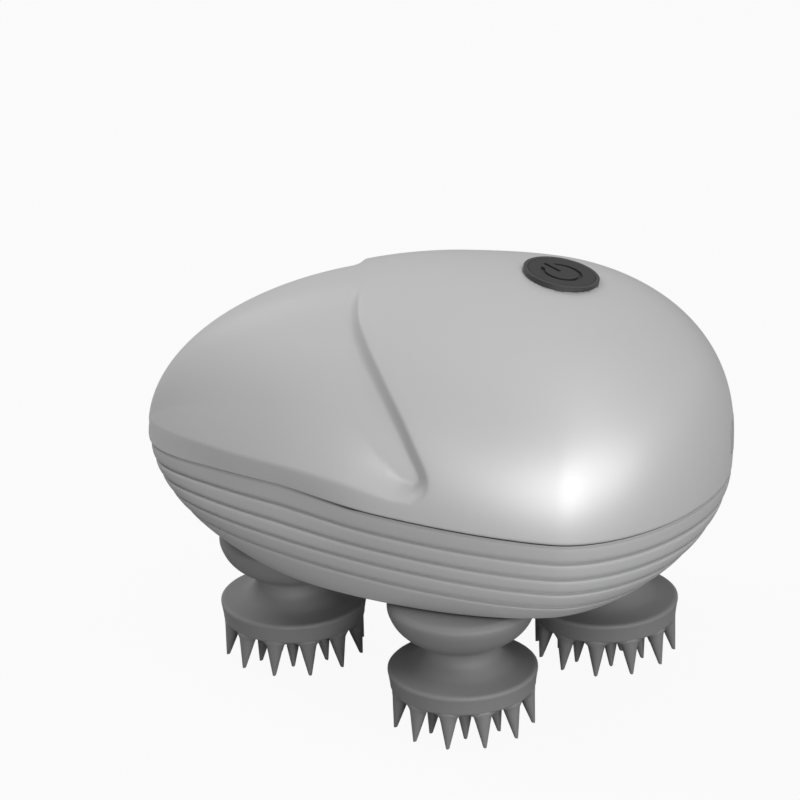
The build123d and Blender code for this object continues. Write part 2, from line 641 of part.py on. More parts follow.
bushes, top_bushes, seals = [], [], []
for name, at in HEADS.items():
    save("head_" + name, Pos(*at) * Rot(0, 0, HEAD_TURNS[name]) * head)
    save("hub_" + name, Pos(*at) * hub)
    shaft = barrel(at, SHAFT_RADIUS, SHAFT_FOOT_Z, PLATE_TOP - AXIAL)
    save("shaft_" + name, shaft)
    phase = mesh_phase(CENTRAL_AT, at, 0, CENTRAL_TEETH, OUTPUT_TEETH)
    save("gear_" + name, gear(at, DRIVE_MODULE, OUTPUT_TEETH, DRIVE_FACE, phase, SHAFT_RADIUS))
    inner, outer = SHAFT_RADIUS + RUNNING, SHAFT_RADIUS + BUSH_WALL
    bush = ring(at, outer, inner, FLOOR_Z, BUSH_TOP)
    bush += ring(at, outer + BUSH_FLANGE, inner, BUSH_TOP - BUSH_FLANGE, BUSH_TOP)
    bushes.append(bush)
    bush = ring(at, outer, inner, PLATE_Z - BUSH_FLANGE, PLATE_TOP)
    bush += ring(at, outer + BUSH_FLANGE, inner, PLATE_Z - BUSH_FLANGE, PLATE_Z)
    top_bushes.append(bush)
    seals.append(ring(at, SEAL_RADIUS, inner, BASE_Z, FLOOR_Z))
save("lower_bushes", Compound(children=bushes))
save("upper_bushes", Compound(children=top_bushes))
save("shaft_seals", Compound(children=seals))

# ---------------------------------------------------------------- gear train

wheel = gear(CENTRAL_AT, DRIVE_MODULE, CENTRAL_TEETH, DRIVE_FACE, 0, CENTRAL_PIN_RADIUS + RUNNING)
rim_inner = CENTRAL_RADIUS - GEAR_RIM
recess = ring(CENTRAL_AT, rim_inner, CENTRAL_BOSS_RADIUS, DRIVE_FACE[1] - GEAR_RECESS, DRIVE_FACE[1] + 1)
save("central_gear", wheel - recess)
pin_top = DRIVE_FACE[1] + AXIAL + CLIP
central_pin = barrel(CENTRAL_AT, CENTRAL_PIN_RADIUS, FLOOR_Z + PIN_FOOT, pin_top)
save("central_pin", central_pin)

phase_2 = mesh_phase(CENTRAL_AT, REDUCTION_2_AT, 0, CENTRAL_TEETH, LAST_PINION_TEETH)
pinion_2 = (DRIVE_FACE[0] - MESH_EXTRA, WHEEL_2_FACE[0])
bore = PIN_RADIUS + RUNNING
reduction_2 = gear(REDUCTION_2_AT, DRIVE_MODULE, LAST_PINION_TEETH, pinion_2, phase_2, bore)
reduction_2 += gear(REDUCTION_2_AT, FINE_MODULE, WHEEL_2_TEETH, WHEEL_2_FACE, 0, bore)
save("reduction_gear_2", reduction_2)

phase_1 = mesh_phase(REDUCTION_2_AT, REDUCTION_1_AT, 0, WHEEL_2_TEETH, PINION_TEETH)
pinion_1 = (WHEEL_2_FACE[0] - MESH_EXTRA, WHEEL_1_FACE[0])
reduction_1 = gear(REDUCTION_1_AT, FINE_MODULE, PINION_TEETH, pinion_1, phase_1, bore)
reduction_1 += gear(REDUCTION_1_AT, FINE_MODULE, WHEEL_1_TEETH, WHEEL_1_FACE, 0, bore)
save("reduction_gear_1", reduction_1)

clip_1 = pinion_1[0] - AXIAL
pin_2 = barrel(REDUCTION_2_AT, PIN_RADIUS, FLOOR_Z + PIN_FOOT, PLATE_TOP)
pin_1 = barrel(REDUCTION_1_AT, PIN_RADIUS, clip_1 - CLIP, PLATE_TOP)
save("reduction_pins", Compound(children=[pin_2, pin_1]))
clips = [
    ring(CENTRAL_AT, CENTRAL_PIN_RADIUS + CLIP_WIDTH, CENTRAL_PIN_RADIUS, pin_top - CLIP, pin_top),
    ring(REDUCTION_1_AT, PIN_RADIUS + CLIP_WIDTH, PIN_RADIUS, clip_1 - CLIP, clip_1),
]
save("retaining_clips", Compound(children=clips))

# ---------------------------------------------------------------- motor

phase_0 = mesh_phase(REDUCTION_1_AT, MOTOR_AT, 0, WHEEL_1_TEETH, PINION_TEETH)
pinion_0 = (WHEEL_1_FACE[0] - MESH_EXTRA, WHEEL_1_FACE[1] + MESH_EXTRA)
save("motor_pinion", gear(MOTOR_AT, FINE_MODULE, PINION_TEETH, pinion_0, phase_0, MOTOR_SHAFT_RADIUS))
can_top = PLATE_TOP + MOTOR_LENGTH
motor_bore = MOTOR_SHAFT_RADIUS + RUNNING
can = barrel(MOTOR_AT, MOTOR_RADIUS, PLATE_TOP, can_top)
can += barrel(MOTOR_AT, MOTOR_NECK_RADIUS, PLATE_TOP - MOTOR_NECK, PLATE_TOP)
can -= barrel(MOTOR_AT, MOTOR_RADIUS - MOTOR_WALL, PLATE_TOP + MOTOR_FACE, can_top + 1)
can -= barrel(MOTOR_AT, motor_bore, PLATE_Z, PLATE_TOP + MOTOR_FACE + 1)
for at in motor_screw_spots:
    can -= barrel(at, MOTOR_SHAFT_RADIUS, PLATE_TOP - 1, PLATE_TOP + MOTOR_FACE)
save("motor_can", can)
cap = barrel(MOTOR_AT, MOTOR_RADIUS - MOTOR_WALL, can_top - MOTOR_CAP, can_top)
cap -= barrel(MOTOR_AT, motor_bore, can_top - MOTOR_CAP - 1, can_top - MOTOR_CAP / 2)
save("motor_end_cap", cap)
magnet_outer = MOTOR_RADIUS - MOTOR_WALL
core_low, core_high = PLATE_TOP + MOTOR_FACE + CORE_GAP, can_top - MOTOR_CAP - CORE_GAP
magnet_ring = ring(MOTOR_AT, magnet_outer, magnet_outer - MAGNET, core_low, core_high)
slot = block(
    (MOTOR_AT[0] - REACH, MOTOR_AT[0] + REACH),
    (MOTOR_AT[1] - MAGNET, MOTOR_AT[1] + MAGNET),
    (core_low - 1, core_high + 1),
)
save("motor_magnets", Compound(children=list((magnet_ring - slot).solids())))
core = barrel(MOTOR_AT, magnet_outer - MAGNET - CORE_GAP / 2, core_low, core_high)
for i in range(CORE_SLOTS):
    spot = step_from(MOTOR_AT, 360 * i / CORE_SLOTS, magnet_outer - MAGNET)
    core -= barrel(spot, CORE_GAP, core_low - 1, core_high + 1)
save("motor_core", core - barrel(MOTOR_AT, MOTOR_SHAFT_RADIUS, core_low - 1, core_high + 1))
shaft_top = can_top - MOTOR_CAP / 2 - AXIAL
save("motor_shaft", barrel(MOTOR_AT, MOTOR_SHAFT_RADIUS, pinion_0[0], shaft_top))
terminals = []
for turn in (1, -1):
    x, y = step_from(MOTOR_AT, MOTOR_ANGLE + 90 * turn, TERMINAL_SPACING)
    terminals.append(block((x - 1, x + 1), (y - 0.25, y + 0.25), (can_top, can_top + TERMINAL)))
save("motor_terminals", Compound(children=terminals))
screws = []
for at in motor_screw_spots:
    screw = barrel(at, MOTOR_SHAFT_RADIUS, PLATE_Z, PLATE_TOP + MOTOR_FACE)
    screws.append(screw + barrel(at, 2 * MOTOR_SHAFT_RADIUS, PLATE_Z - 1, PLATE_Z))
save("motor_screws", Compound(children=screws))

# ---------------------------------------------------------------- battery

half_x, half_y = BATTERY[0] / 2, BATTERY[1] / 2
cell_low = PLATE_TOP + TRAY_WALL
cell = Box(*BATTERY)
cell = fillet(cell.edges().filter_by(Axis.X), BATTERY_EDGE)
save("battery_pack", Pos(BATTERY_X, 0, cell_low + BATTERY[2] / 2) * cell)
tray = block(
    (BATTERY_X - half_x - TRAY_WALL, BATTERY_X + half_x),
    (-half_y - TRAY_WALL, half_y + TRAY_WALL),
    (PLATE_TOP, cell_low + TRAY_LIP),
)
tray -= block((BATTERY_X - half_x, REACH), (-half_y, half_y), (cell_low, REACH))
save("battery_tray", tray)

# ---------------------------------------------------------------- control board

half_x, half_y = BOARD[0] / 2, BOARD[1] / 2
board = block(
    (BOARD_SHIFT - half_x, BOARD_SHIFT + half_x),
    (-half_y, half_y),
    (-BOARD_DROP - BOARD[2], -BOARD_DROP),
)
screws = []
foot = -BOARD_DROP - BOARD[2]
for spot in BOARD_BOSSES:
    board -= barrel(spot, BOARD_SCREW_RADIUS, foot - 1, 0)
    screw = barrel(spot, BOARD_SCREW_RADIUS, foot, -BOARD_SCREW_TIP)
    screws.append(BUTTON * (screw + barrel(spot, 2 * BOARD_SCREW_RADIUS, foot - 1, foot)))
save("control_board", BUTTON * board)
save("board_screws", Compound(children=screws))

switch_low, switch_top = -BOARD_DROP, -BOARD_DROP + SWITCH[2]
switch = block((-SWITCH[0] / 2, SWITCH[0] / 2), (-SWITCH[1] / 2, SWITCH[1] / 2), (switch_low, switch_top))
plunger_low = switch_low + BUTTON_TRAVEL + 2 * AXIAL
switch -= barrel((0, 0), PLUNGER_RADIUS + BUTTON_GAP, switch_low + AXIAL, switch_top + 1)
save("switch_housing", BUTTON * switch)
save("switch_plunger", BUTTON * barrel((0, 0), PLUNGER_RADIUS, plunger_low, plunger_top))

chips = []
for (x, y), (length, width, height) in CHIPS:
    chips.append(
        BUTTON * block((x, x + length), (y - width / 2, y + width / 2), (foot - height, foot))
    )
save("board_components", Compound(children=chips))

# ---------------------------------------------------------------- leads


def lead(points, bend):
    """Insulated lead along straight runs joined by tangent arcs."""
    path = FilletPolyline(*points, radius=bend)
    return sweep(Plane(origin=path @ 0, z_dir=path % 0) * Circle(LEAD_RADIUS).face(), path)


def on_board(x, y, height):
    """World point over or under the control board, from the button's frame."""
    spot = (BUTTON * Pos(x, y, height)).position
    return (spot.X, spot.Y, spot.Z)


board_nose = BOARD_SHIFT - BOARD[0] / 2
battery_end = BATTERY_X + BATTERY[0] / 2
side = MOTOR_AT[1] - MOTOR_RADIUS - LEAD_SIDE - LEAD_RADIUS
leads = []
for i in range(2):
    end = on_board(board_nose + LEAD_EDGE - LEAD_PITCH * i, side, foot - AXIAL)
    height = cell_low + BATTERY[2] / 3 + LEAD_PITCH * i
    leads.append(lead([(battery_end, side, height), (end[0], side, height), end], LEAD_BEND))
save("battery_leads", Compound(children=leads))

for name, shape in parts.items():
    export_step(shape, "parts/" + name + ".step")
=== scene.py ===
import json
import math

import bmesh
import bpy
import numpy as np
from mathutils import Matrix, Vector


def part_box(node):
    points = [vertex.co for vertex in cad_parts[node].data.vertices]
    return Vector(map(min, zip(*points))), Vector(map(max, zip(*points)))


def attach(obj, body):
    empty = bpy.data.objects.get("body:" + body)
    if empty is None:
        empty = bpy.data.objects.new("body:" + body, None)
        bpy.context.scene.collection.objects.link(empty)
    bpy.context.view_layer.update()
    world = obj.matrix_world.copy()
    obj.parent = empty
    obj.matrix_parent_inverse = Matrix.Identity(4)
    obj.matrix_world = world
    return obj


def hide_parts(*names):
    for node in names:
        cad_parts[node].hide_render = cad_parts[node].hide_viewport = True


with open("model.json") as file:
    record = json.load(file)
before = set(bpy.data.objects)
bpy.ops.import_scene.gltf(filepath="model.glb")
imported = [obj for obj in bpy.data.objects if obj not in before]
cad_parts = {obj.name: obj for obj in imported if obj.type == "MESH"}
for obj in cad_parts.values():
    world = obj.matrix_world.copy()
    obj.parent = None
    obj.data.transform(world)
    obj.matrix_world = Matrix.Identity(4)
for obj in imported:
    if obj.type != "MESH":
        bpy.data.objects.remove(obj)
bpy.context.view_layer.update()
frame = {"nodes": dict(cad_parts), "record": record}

bl_info = {
    "name": "Scalp massager",
    "version": (1, 0, 0),
    "blender": (4, 5, 0),
    "location": "View3D > Sidebar > Massager",
    "description": "Builds the shells, heads and finishes of an egg-shaped scalp massager",
    "category": "Add Mesh",
}

SLOTS = {part["node"]: part["material_slot"] for part in frame["record"]["subparts"]}
STOCK = {}          # names of the finishes already made, by slot
HEADS = {"tail": 7.4, "left": 4.0, "nose": 1.2, "right": 4.0}    # each head's own turn, degrees
MM = 0.001

ROUND = 0.12                            # softness of the widest place, as a share of its run
SIDE_POWERS = (5.1, 2.16)               # how the lower shell's sides close with depth
GROOVES = (4.4, 8.05, 11.4, 15.05)      # depths of the four grooves' middles
LAST_GROOVE = 15.4                      # depth of the last groove's lower edge
LAST_BAND = 101.0                       # added to a share of the band under the last groove
FLOOR = 2.5                             # thickness of the lower shell's floor
LAMPS = (       # name, direction, width, height, power, seen in gloss only
    ("spark", (0.33, -0.91, 0.19), 0.45, 0.45, 0.7, True),
    ("glow", (0.42, -0.90, 0.20), 2.2, 0.7, 8.5, True),
    ("over", (0.45, -0.32, 0.82), 0.8, 0.8, 3.3, False),
    ("front", (0.42, -0.88, 0.14), 0.5, 0.3, 2.9, False),
    ("back", (-0.62, 0.40, 0.68), 0.5, 0.5, 4.6, False),
)
TEETH = ((12, 1.0, 15), (8, 0.68, 0), (4, 0.31, 45))    # count, share of the ring, first angle
SUNK = 0.5                              # how far a tooth's root reaches into the disc
DROOP_FRONT, DROOP_BACK = -34.0, 15.0   # places where the parting line begins to drop
CREASE = 13                             # the scoop line's point where its crease begins

# ------------------------------------------------------------------ sizes and colours


def length(name, text, value):
    """A length property in millimetres."""
    return bpy.props.FloatProperty(name=name, description=text, default=value, precision=3)


def tint(name, text, value):
    """A linear colour property."""
    return bpy.props.FloatVectorProperty(
        name=name, description=text, default=value, size=3, subtype="COLOR", min=0.0, max=1.0
    )


def turn(name, text, value):
    """An angle property, given in degrees and kept in radians."""
    return bpy.props.FloatProperty(
        name=name, description=text, default=math.radians(value), subtype="ANGLE", unit="ROTATION"
    )


class HousingSizes(bpy.types.PropertyGroup):
    """Sizes of the egg-shaped housing, in its own tipped frame, in millimetres."""

    nose: length("Nose", "Foremost point of the parting outline", -62.95)
    tail: length("Tail", "Rearmost point of the parting outline", 62.88)
    half_width: length("Half width", "Half width at the widest section", 48.5)
    widest: length("Widest place", "Place of the widest section", 25.0)
    crown: length("Crown", "Height of the dome over the parting plane", 41.17)
    crown_place: length("Crown place", "Place of the highest section", 3.3)
    keel: length("Keel", "Depth at which the lower shell's sides would close", 30.2)
    keel_place: length("Keel place", "Place of the deepest section", -1.2)
    parting: length("Parting height", "Height of the parting plane at the middle", 48.64)
    tilt: turn("Tilt", "Nose-up tilt of the housing", 3.96)
    base: length("Underside", "Height of the flat underside", 28.5)
    wall: length("Wall", "Thickness of both shells", 2.2)
    edge: length("Edge", "Rounding of the dome's lower edge", 0.45)
    scoop: length("Scoop depth", "Depth of the finger scoops at their rear edge", 3.4)
    step: length("Scoop fall", "Run over which the scoop falls away from its rear edge", 2.8)
    top_share: length("Scoop top", "Share of the scoop's depth that is left at the crown", 0.2)
    lip: length("Scoop rise", "Run over which the scoop rises to the skirt", 14.0)
    crisp: length("Scoop rounding", "Softness of the scoop's edges", 0.25)
    groove: length("Groove", "Height of a groove between two ribs", 0.7)
    recess: length("Groove depth", "Depth of a groove", 1.0)
    bulge: length("Rib bulge", "How far a rib's middle stands out from its edges", 0.16)
    reveal: length("Reveal", "Depth of the dark line under the dome", 1.8)
    slot: length("Reveal height", "Height of the dark line under the dome", 0.36)
    tuck: length("Skirt tuck", "How far the parting line lies inside the skirt's crease", 1.9)
    beak: length("Nose tuck", "How far the nose falls back above the skirt's crease", 1.2)
    seal: length("Gasket inset", "How far the gasket lies inside the outline", 0.75)
    seal_width: length("Gasket width", "Width of the gasket", 0.8)
    seal_height: length("Gasket height", "Height of the gasket", 1.0)
    button_place: length("Button place", "Place of the button's hole on the crown", 23.7)
    button_hole: length("Button hole", "Radius of the button's hole", 8.17)
    button_lean: turn("Button lean", "Lean of the button's axis from the housing's", 7.8)
    droop_nose: length("Nose drop", "Drop of the parting line at the nose", 3.4)
    droop_tail: length("Tail drop", "Drop of the parting line at the tail", 0.7)


class HeadSizes(bpy.types.PropertyGroup):
    """Sizes of a soft massage head, in millimetres."""

    disc: length("Disc", "Radius of the toothed disc", 15.898)
    neck: length("Neck", "Radius of the waist", 8.0)
    bowl: length("Bowl", "Radius of the bowl under the housing", 15.7)
    top: length("Top", "Height of the bowl's top", 28.0)
    root: length("Tooth root", "Height at which the teeth leave the disc", 7.8)
    ring: length("Tooth ring", "Radius of the outer teeth's upright faces", 15.45)
    tip: length("Tooth tip", "Radius of a tooth's tip", 0.36)


class Finishes(bpy.types.PropertyGroup):
    """Colours of the outer pieces."""

    pearl: tint("Dome", "Pearl-grey plastic of the dome", (0.60, 0.60, 0.607))
    ribs: tint("Ribs", "Matte grey plastic of the ribbed shell", (0.41, 0.41, 0.414))
    silicone: tint("Heads", "Dark silicone of the heads", (0.21, 0.21, 0.213))
    button: tint("Button", "Charcoal plastic of the button", (0.024, 0.024, 0.025))
    ring: tint("Button ring", "Dark ring round the button", (0.034, 0.034, 0.035))
    plug: tint("Dust plug", "Silicone of the dust plug", (0.36, 0.36, 0.362))


# ------------------------------------------------------------------ surface formulas


def profile(x, low, middle, high, nose, tail):
    """Share (1 - u**p) ** (1 / q), where u runs from 0 at the middle to 1 at either end."""
    front = x < middle
    u = np.where(front, (middle - x) / (middle - low), (x - middle) / (high - middle))
    p = np.where(front, nose[0], tail[0])
    q = np.where(front, nose[1], tail[1])
    power = (np.clip(u, 0, 1) ** 2 + ROUND**2) ** (p / 2) - ROUND**p
    power = power / ((1 + ROUND**2) ** (p / 2) - ROUND**p)
    return np.maximum(0.0, 1.0 - power) ** (1 / q)


def half_width(s, x, inset=0.0):
    """Half width of the plan outline at x."""
    share = profile(x, s.nose + inset, s.widest, s.tail - inset, (1.45, 1.45), (1.66, 1.70))
    return (s.half_width - inset) * share


def crown(s, x, inset=0.0):
    """Height of the dome at x."""
    share = profile(x, s.nose + inset, s.crown_place, s.tail - inset, (1.91, 2.03), (2.86, 2.61))
    return (s.crown - inset) * share


def keel(s, x, inset=0.0):
    """Depth at which the lower shell's sides close at x."""
    share = profile(x, s.nose + inset, s.keel_place, s.tail - inset, (2.14, 1.99), (1.54, 2.03))
    return (s.keel - inset) * share


def ramp(value, low, high):
    """Smooth step from 0 at low to 1 at high: t * t * (3 - 2 t)."""
    t = np.clip((value - low) / (high - low), 0, 1)
    return t * t * (3 - 2 * t)


def through(points, at):
    """Smooth curve through (place, value) points, as cubic pieces with averaged slopes."""
    x, y = np.array(points, float).T
    slope = np.gradient(y, x)
    i = np.clip(np.searchsorted(x, at) - 1, 0, len(x) - 2)
    h = x[i + 1] - x[i]
    t = np.clip((at - x[i]) / h, 0, 1)
    start = (1 + 2 * t) * (1 - t) ** 2 * y[i] + t * (1 - t) ** 2 * h * slope[i]
    end = t * t * (3 - 2 * t) * y[i + 1] + t * t * (t - 1) * h * slope[i + 1]
    return start + end


def spread(low, high, count, weight):
    """Places from low to high whose density follows weight, by inverting its running sum."""
    x = np.linspace(low, high, 4001)
    total = np.concatenate([[0], np.cumsum((weight(x[1:]) + weight(x[:-1])) / 2)])
    return np.interp(np.linspace(0, total[-1], count), total, x)


def tipped(s, points):
    """Points of the housing's frame turned by its tilt about Y and lifted to their height."""
    x, y, z = np.moveaxis(points, -1, 0)
    c, n = math.cos(s.tilt), math.sin(s.tilt)
    return np.stack([x * c + z * n, y, s.parting - x * n + z * c], -1)


SCOOP_LINE = (
    (-8.0, 47.0), (-12.6, 43.2), (-16.5, 39.6), (-18.3, 37.1), (-18.2, 35.0), (-16.1, 31.5),
    (-12.9, 27.4), (-10.1, 23.7), (-7.2, 19.6), (-4.4, 14.9), (-2.5, 11.6), (-1.6, 9.3),
    (-2.0, 7.2), (-3.9, 5.4), (-7.5, 4.6), (-13.0, 4.7), (-19.7, 5.1), (-28.2, 5.1),
    (-39.1, 4.5), (-50.3, 3.6), (-62.3, 2.1), (-75.0, 0.4),
)       # from the crown down the scoop's rear edge, round its foot and along the skirt to the nose


def droop(s, x):
    """Drop of the parting line towards the nose and, less, towards the tail, in millimetres."""
    front = np.clip((DROOP_FRONT - x) / (DROOP_FRONT - s.nose), 0, 1) ** 1.2
    back = np.clip((x - DROOP_BACK) / (s.tail - DROOP_BACK), 0, 1)
    return s.droop_nose * front + s.droop_tail * back


def scoop_share(s, x, z):
    """Share of the scoop's depth, and distance over the skirt's crease, seen from the side.

    The share is 1 - (1 - d / run)**2, where d is the softened distance inside the scoop's line
    and the run grows along the line from its rear edge to its crease over the skirt.
    """
    points = np.array(SCOOP_LINE)
    along = np.concatenate([[0], np.cumsum(np.hypot(*np.diff(points, axis=0).T))])
    fine = np.linspace(0, along[-1], 420)
    line = np.stack([through(np.stack([along, column], -1), fine) for column in points.T], -1)
    way = np.gradient(line, axis=0)
    x, z = np.broadcast_arrays(x, z)
    spots = np.stack([x, z], -1).reshape(-1, 2)
    near = np.concatenate([
        ((block[:, None] - line[None]) ** 2).sum(-1).argmin(-1)
        for block in np.array_split(spots, 60)
    ])
    gap = spots - line[near]
    side = way[near, 0] * gap[:, 1] - way[near, 1] * gap[:, 0]
    inside = (-side / np.hypot(*way[near].T)).reshape(x.shape)
    foot = along[CREASE]
    run = s.step + (s.lip - s.step) * ramp(fine[near], foot, foot + 20).reshape(x.shape)
    soft = (inside + np.sqrt(inside**2 + s.crisp**2)) / 2 / run
    crease = np.interp(x, line[::-1, 0][:240], line[::-1, 1][:240])
    return 1 - (1 - np.clip(soft, 0, 1)) ** 2, z - crease


def pulled_in(x, y, amount):
    """Plan points moved towards the upright axis by an amount."""
    run = np.maximum(np.hypot(x, y), 1e-6)
    return x - amount * x / run, y - amount * y / run


def nose_share(x):
    """1 at the nose, 0 behind the scoops."""
    return ramp(-x, 12.0, 34.0)


def tuck_share(x):
    """Share of the skirt's tuck: 1 beside the scoops, fading to the tip of the nose."""
    return nose_share(x) * (1 - 0.85 * ramp(-x, 48.0, 60.0))


# ------------------------------------------------------------------ mesh helpers


def build(name, verts, faces, smooth=True):
    """Mesh object from points in millimetres, with its faces turned outwards."""
    mesh = bpy.data.meshes.new(name)
    mesh.from_pydata((np.asarray(verts) * MM).tolist(), [], faces)
    shape = bmesh.new()
    shape.from_mesh(mesh)
    bmesh.ops.recalc_face_normals(shape, faces=shape.faces)
    shape.to_mesh(mesh)
    shape.free()
    mesh.polygons.foreach_set("use_smooth", np.full(len(mesh.polygons), smooth))
    mesh.update()
    piece = bpy.data.objects.new(name, mesh)
    bpy.context.collection.objects.link(piece)
    return piece


def rings(loops, start, end, first=0):
    """Closed skin over a (rows, around) grid of closed loops, with a pole at each end."""
    rows, around = loops.shape[:2]
    index = first + np.arange(rows * around).reshape(rows, around)
    a, b = index[:-1], index[1:]
    quads = np.stack([a, np.roll(a, -1, 1), np.roll(b, -1, 1), b], -1).reshape(-1, 4)
    poles = (first + rows * around, first + rows * around + 1)
    caps = []
    for pole, row in ((poles[0], index[0]), (poles[1], index[-1])):
        caps.append(np.stack([np.full(around, pole), row, np.roll(row, -1)], -1))
    verts = np.concatenate([loops.reshape(-1, 3), [start], [end]])
    return verts, quads.tolist() + np.concatenate(caps).tolist()


def rounded_bar(low, high, gap, corner, depth, over):
    """Bar along X round a box, wider by a gap, its long edges rounded.

    It runs from a depth inside the box's outer end to a length over it.
    """
    y, z = (high[1] - low[1]) / 2 + gap, (high[2] - low[2]) / 2 + gap
    around = np.linspace(0, 2 * math.pi, 65)[:-1]
    c, n = np.cos(around), np.sin(around)
    ring = np.stack([
        (y - corner) * np.sign(c) + corner * c, (z - corner) * np.sign(n) + corner * n
    ], -1)
    middle = np.array([(low[1] + high[1]) / 2, (low[2] + high[2]) / 2])
    loops = [np.insert(ring + middle, 0, x, axis=1) for x in (high[0] - depth, high[0] + over)]
    ends = [np.array([loop[0, 0], *middle]) for loop in loops]
    verts, faces = rings(np.array(loops), *ends)
    return build("pocket", verts / MM, faces)


def carve(piece, *cutters):
    """The piece with closed cutters taken away for good."""
    for cutter in cutters:
        step = piece.modifiers.new("cut", "BOOLEAN")
        step.operation, step.solver, step.object = "DIFFERENCE", "MANIFOLD", cutter
    graph = bpy.context.evaluated_depsgraph_get()
    mesh = bpy.data.meshes.new_from_object(piece.evaluated_get(graph))
    piece.modifiers.clear()
    old, piece.data = piece.data, mesh
    bpy.data.meshes.remove(old)
    for cutter in cutters:
        bpy.data.objects.remove(cutter)
    mesh.name = piece.name
    return piece


def finish(piece, material, body, *nodes):
    """Dress a piece, hang it on its body and let it stand for its nodes."""
    piece.data.materials.clear()
    piece.data.materials.append(material)
    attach(piece, body)
    if nodes:
        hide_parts(*nodes)
    return piece


# ------------------------------------------------------------------ shells


def side_share(share):
    """Share of the half width left at a share of the keel's depth: (1 - u**p) ** (1 / q)."""
    return (1 - share ** SIDE_POWERS[0]) ** (1 / SIDE_POWERS[1])


def upper_places(s):
    """Places of the dome's sections, closer at both ends and at the scoops' rear edges."""
    def weight(x):
        scoops = 2.6 * np.exp(-(((x + 9) / 12) ** 2))
        return 1 + scoops + 3 * np.exp((s.nose - x) / 1.5) + 3 * np.exp((x - s.tail) / 1.5)

    return spread(s.nose, s.tail, 402, weight)[1:-1, None]


def upper_loops(s):
    """Sections across X: an elliptical arc outside, the same arc less the wall inside.

    Outside, z runs from the parting line to the crown height by sin, and y is the half width
    times sqrt(1 - (z / crown)**2). Below the plane of the widest section it follows the lower
    shell's sides. The lowest edge is a quarter circle. The scoops then sink the surface along its
    own normal, fading out over the crown, and the skirt is drawn in under its crease.
    """
    x = upper_places(s)
    edge_turns = [0, 0.0003, 0.0009, 0.0018, 0.0035, 0.006]
    half = np.concatenate([edge_turns, np.linspace(0.0095, 0.5, 93)])
    turn_out = math.pi * np.concatenate([half, 1 - half[-2::-1]])[None]
    depth, top = keel(s, x), crown(s, x)
    low = -np.minimum(droop(s, x), 0.98 * depth)
    high = low + (top - low) * np.sin(turn_out)
    over = np.sqrt(np.maximum(0, 1 - (high / top) ** 2))
    under = side_share(np.clip(-high / depth, 0, 1))
    corner = s.edge * (1 - 0.75 * nose_share(x))
    edge = np.clip(1 - (high - low) / corner, 0, 1)
    wide = half_width(s, x)
    wide = wide - corner * (1 - np.sqrt(1 - edge**2)) * np.minimum(1, wide / 3)
    wide = wide * np.where(high < 0, under, over) * np.sign(np.cos(turn_out))
    wide[:, len(half) - 1] = 0
    outer = np.stack(np.broadcast_arrays(x, wide, high), -1)

    normal = np.cross(np.gradient(outer, axis=0), np.gradient(outer, axis=1))
    normal /= np.maximum(np.linalg.norm(normal, axis=-1, keepdims=True), 1e-9)
    normal *= np.sign((normal[..., 1:] * outer[..., 1:]).sum(-1, keepdims=True))
    reach = s.scoop * np.clip((x - s.nose) / 61.6, 0, 1) ** 1.2
    share, over_crease = scoop_share(s, x, high)
    fade = s.top_share + (1 - s.top_share) * ramp(over, 0.12, 0.55)
    outer = outer - (reach * share * fade)[..., None] * normal

    under_crease = np.clip(-over_crease / np.maximum(high - over_crease - low, 0.1), 0, 1)
    above = 1 - (1 - np.clip(over_crease / s.lip, 0, 1)) ** 2
    pull = s.tuck * tuck_share(x) * under_crease + s.beak * ramp(-x, 30.0, 60.0) * above
    pull = pull * np.where(high > 0.5 * top, 2 - 2 * high / top, 1)
    outer[..., 0], outer[..., 1] = pulled_in(outer[..., 0], outer[..., 1], pull)

    turn_in = math.pi * np.linspace(1, 0, 41)[None]
    inner_wide = np.maximum(half_width(s, x, s.wall) - reach, 0.05)
    inner_wide = np.minimum(inner_wide, 0.7 * outer[:, :1, 1])
    inner_high = np.minimum(np.maximum(crown(s, x, s.wall), 0.05), 0.7 * top)
    inner = (x, inner_wide * np.cos(turn_in), low + (inner_high - low) * np.sin(turn_in))
    inner = np.stack(np.broadcast_arrays(*inner), -1)
    return tipped(s, np.concatenate([outer, inner], 1))


def level(s, depth, turn_round, inset):
    """Plan outline at a depth: x from cos of the angle, y from the half width's side powers."""
    low, high = s.nose + inset, s.tail - inset
    inside = np.full_like(depth, s.keel_place)
    ends = []
    for limit in (low, high):
        out, near = np.full_like(depth, limit), inside.copy()
        for _ in range(30):
            middle = (out + near) / 2
            reached = keel(s, middle, inset) > depth
            near, out = np.where(reached, middle, near), np.where(reached, out, middle)
        ends.append(np.where(depth <= 0, limit, (out + near) / 2))
    x = (ends[0] + ends[1]) / 2 + (ends[1] - ends[0]) / 2 * np.cos(turn_round)
    share = np.clip(depth / np.maximum(keel(s, x, inset), 1e-6), 0, 1)
    return x, np.sign(np.sin(turn_round)) * half_width(s, x, inset) * side_share(share)


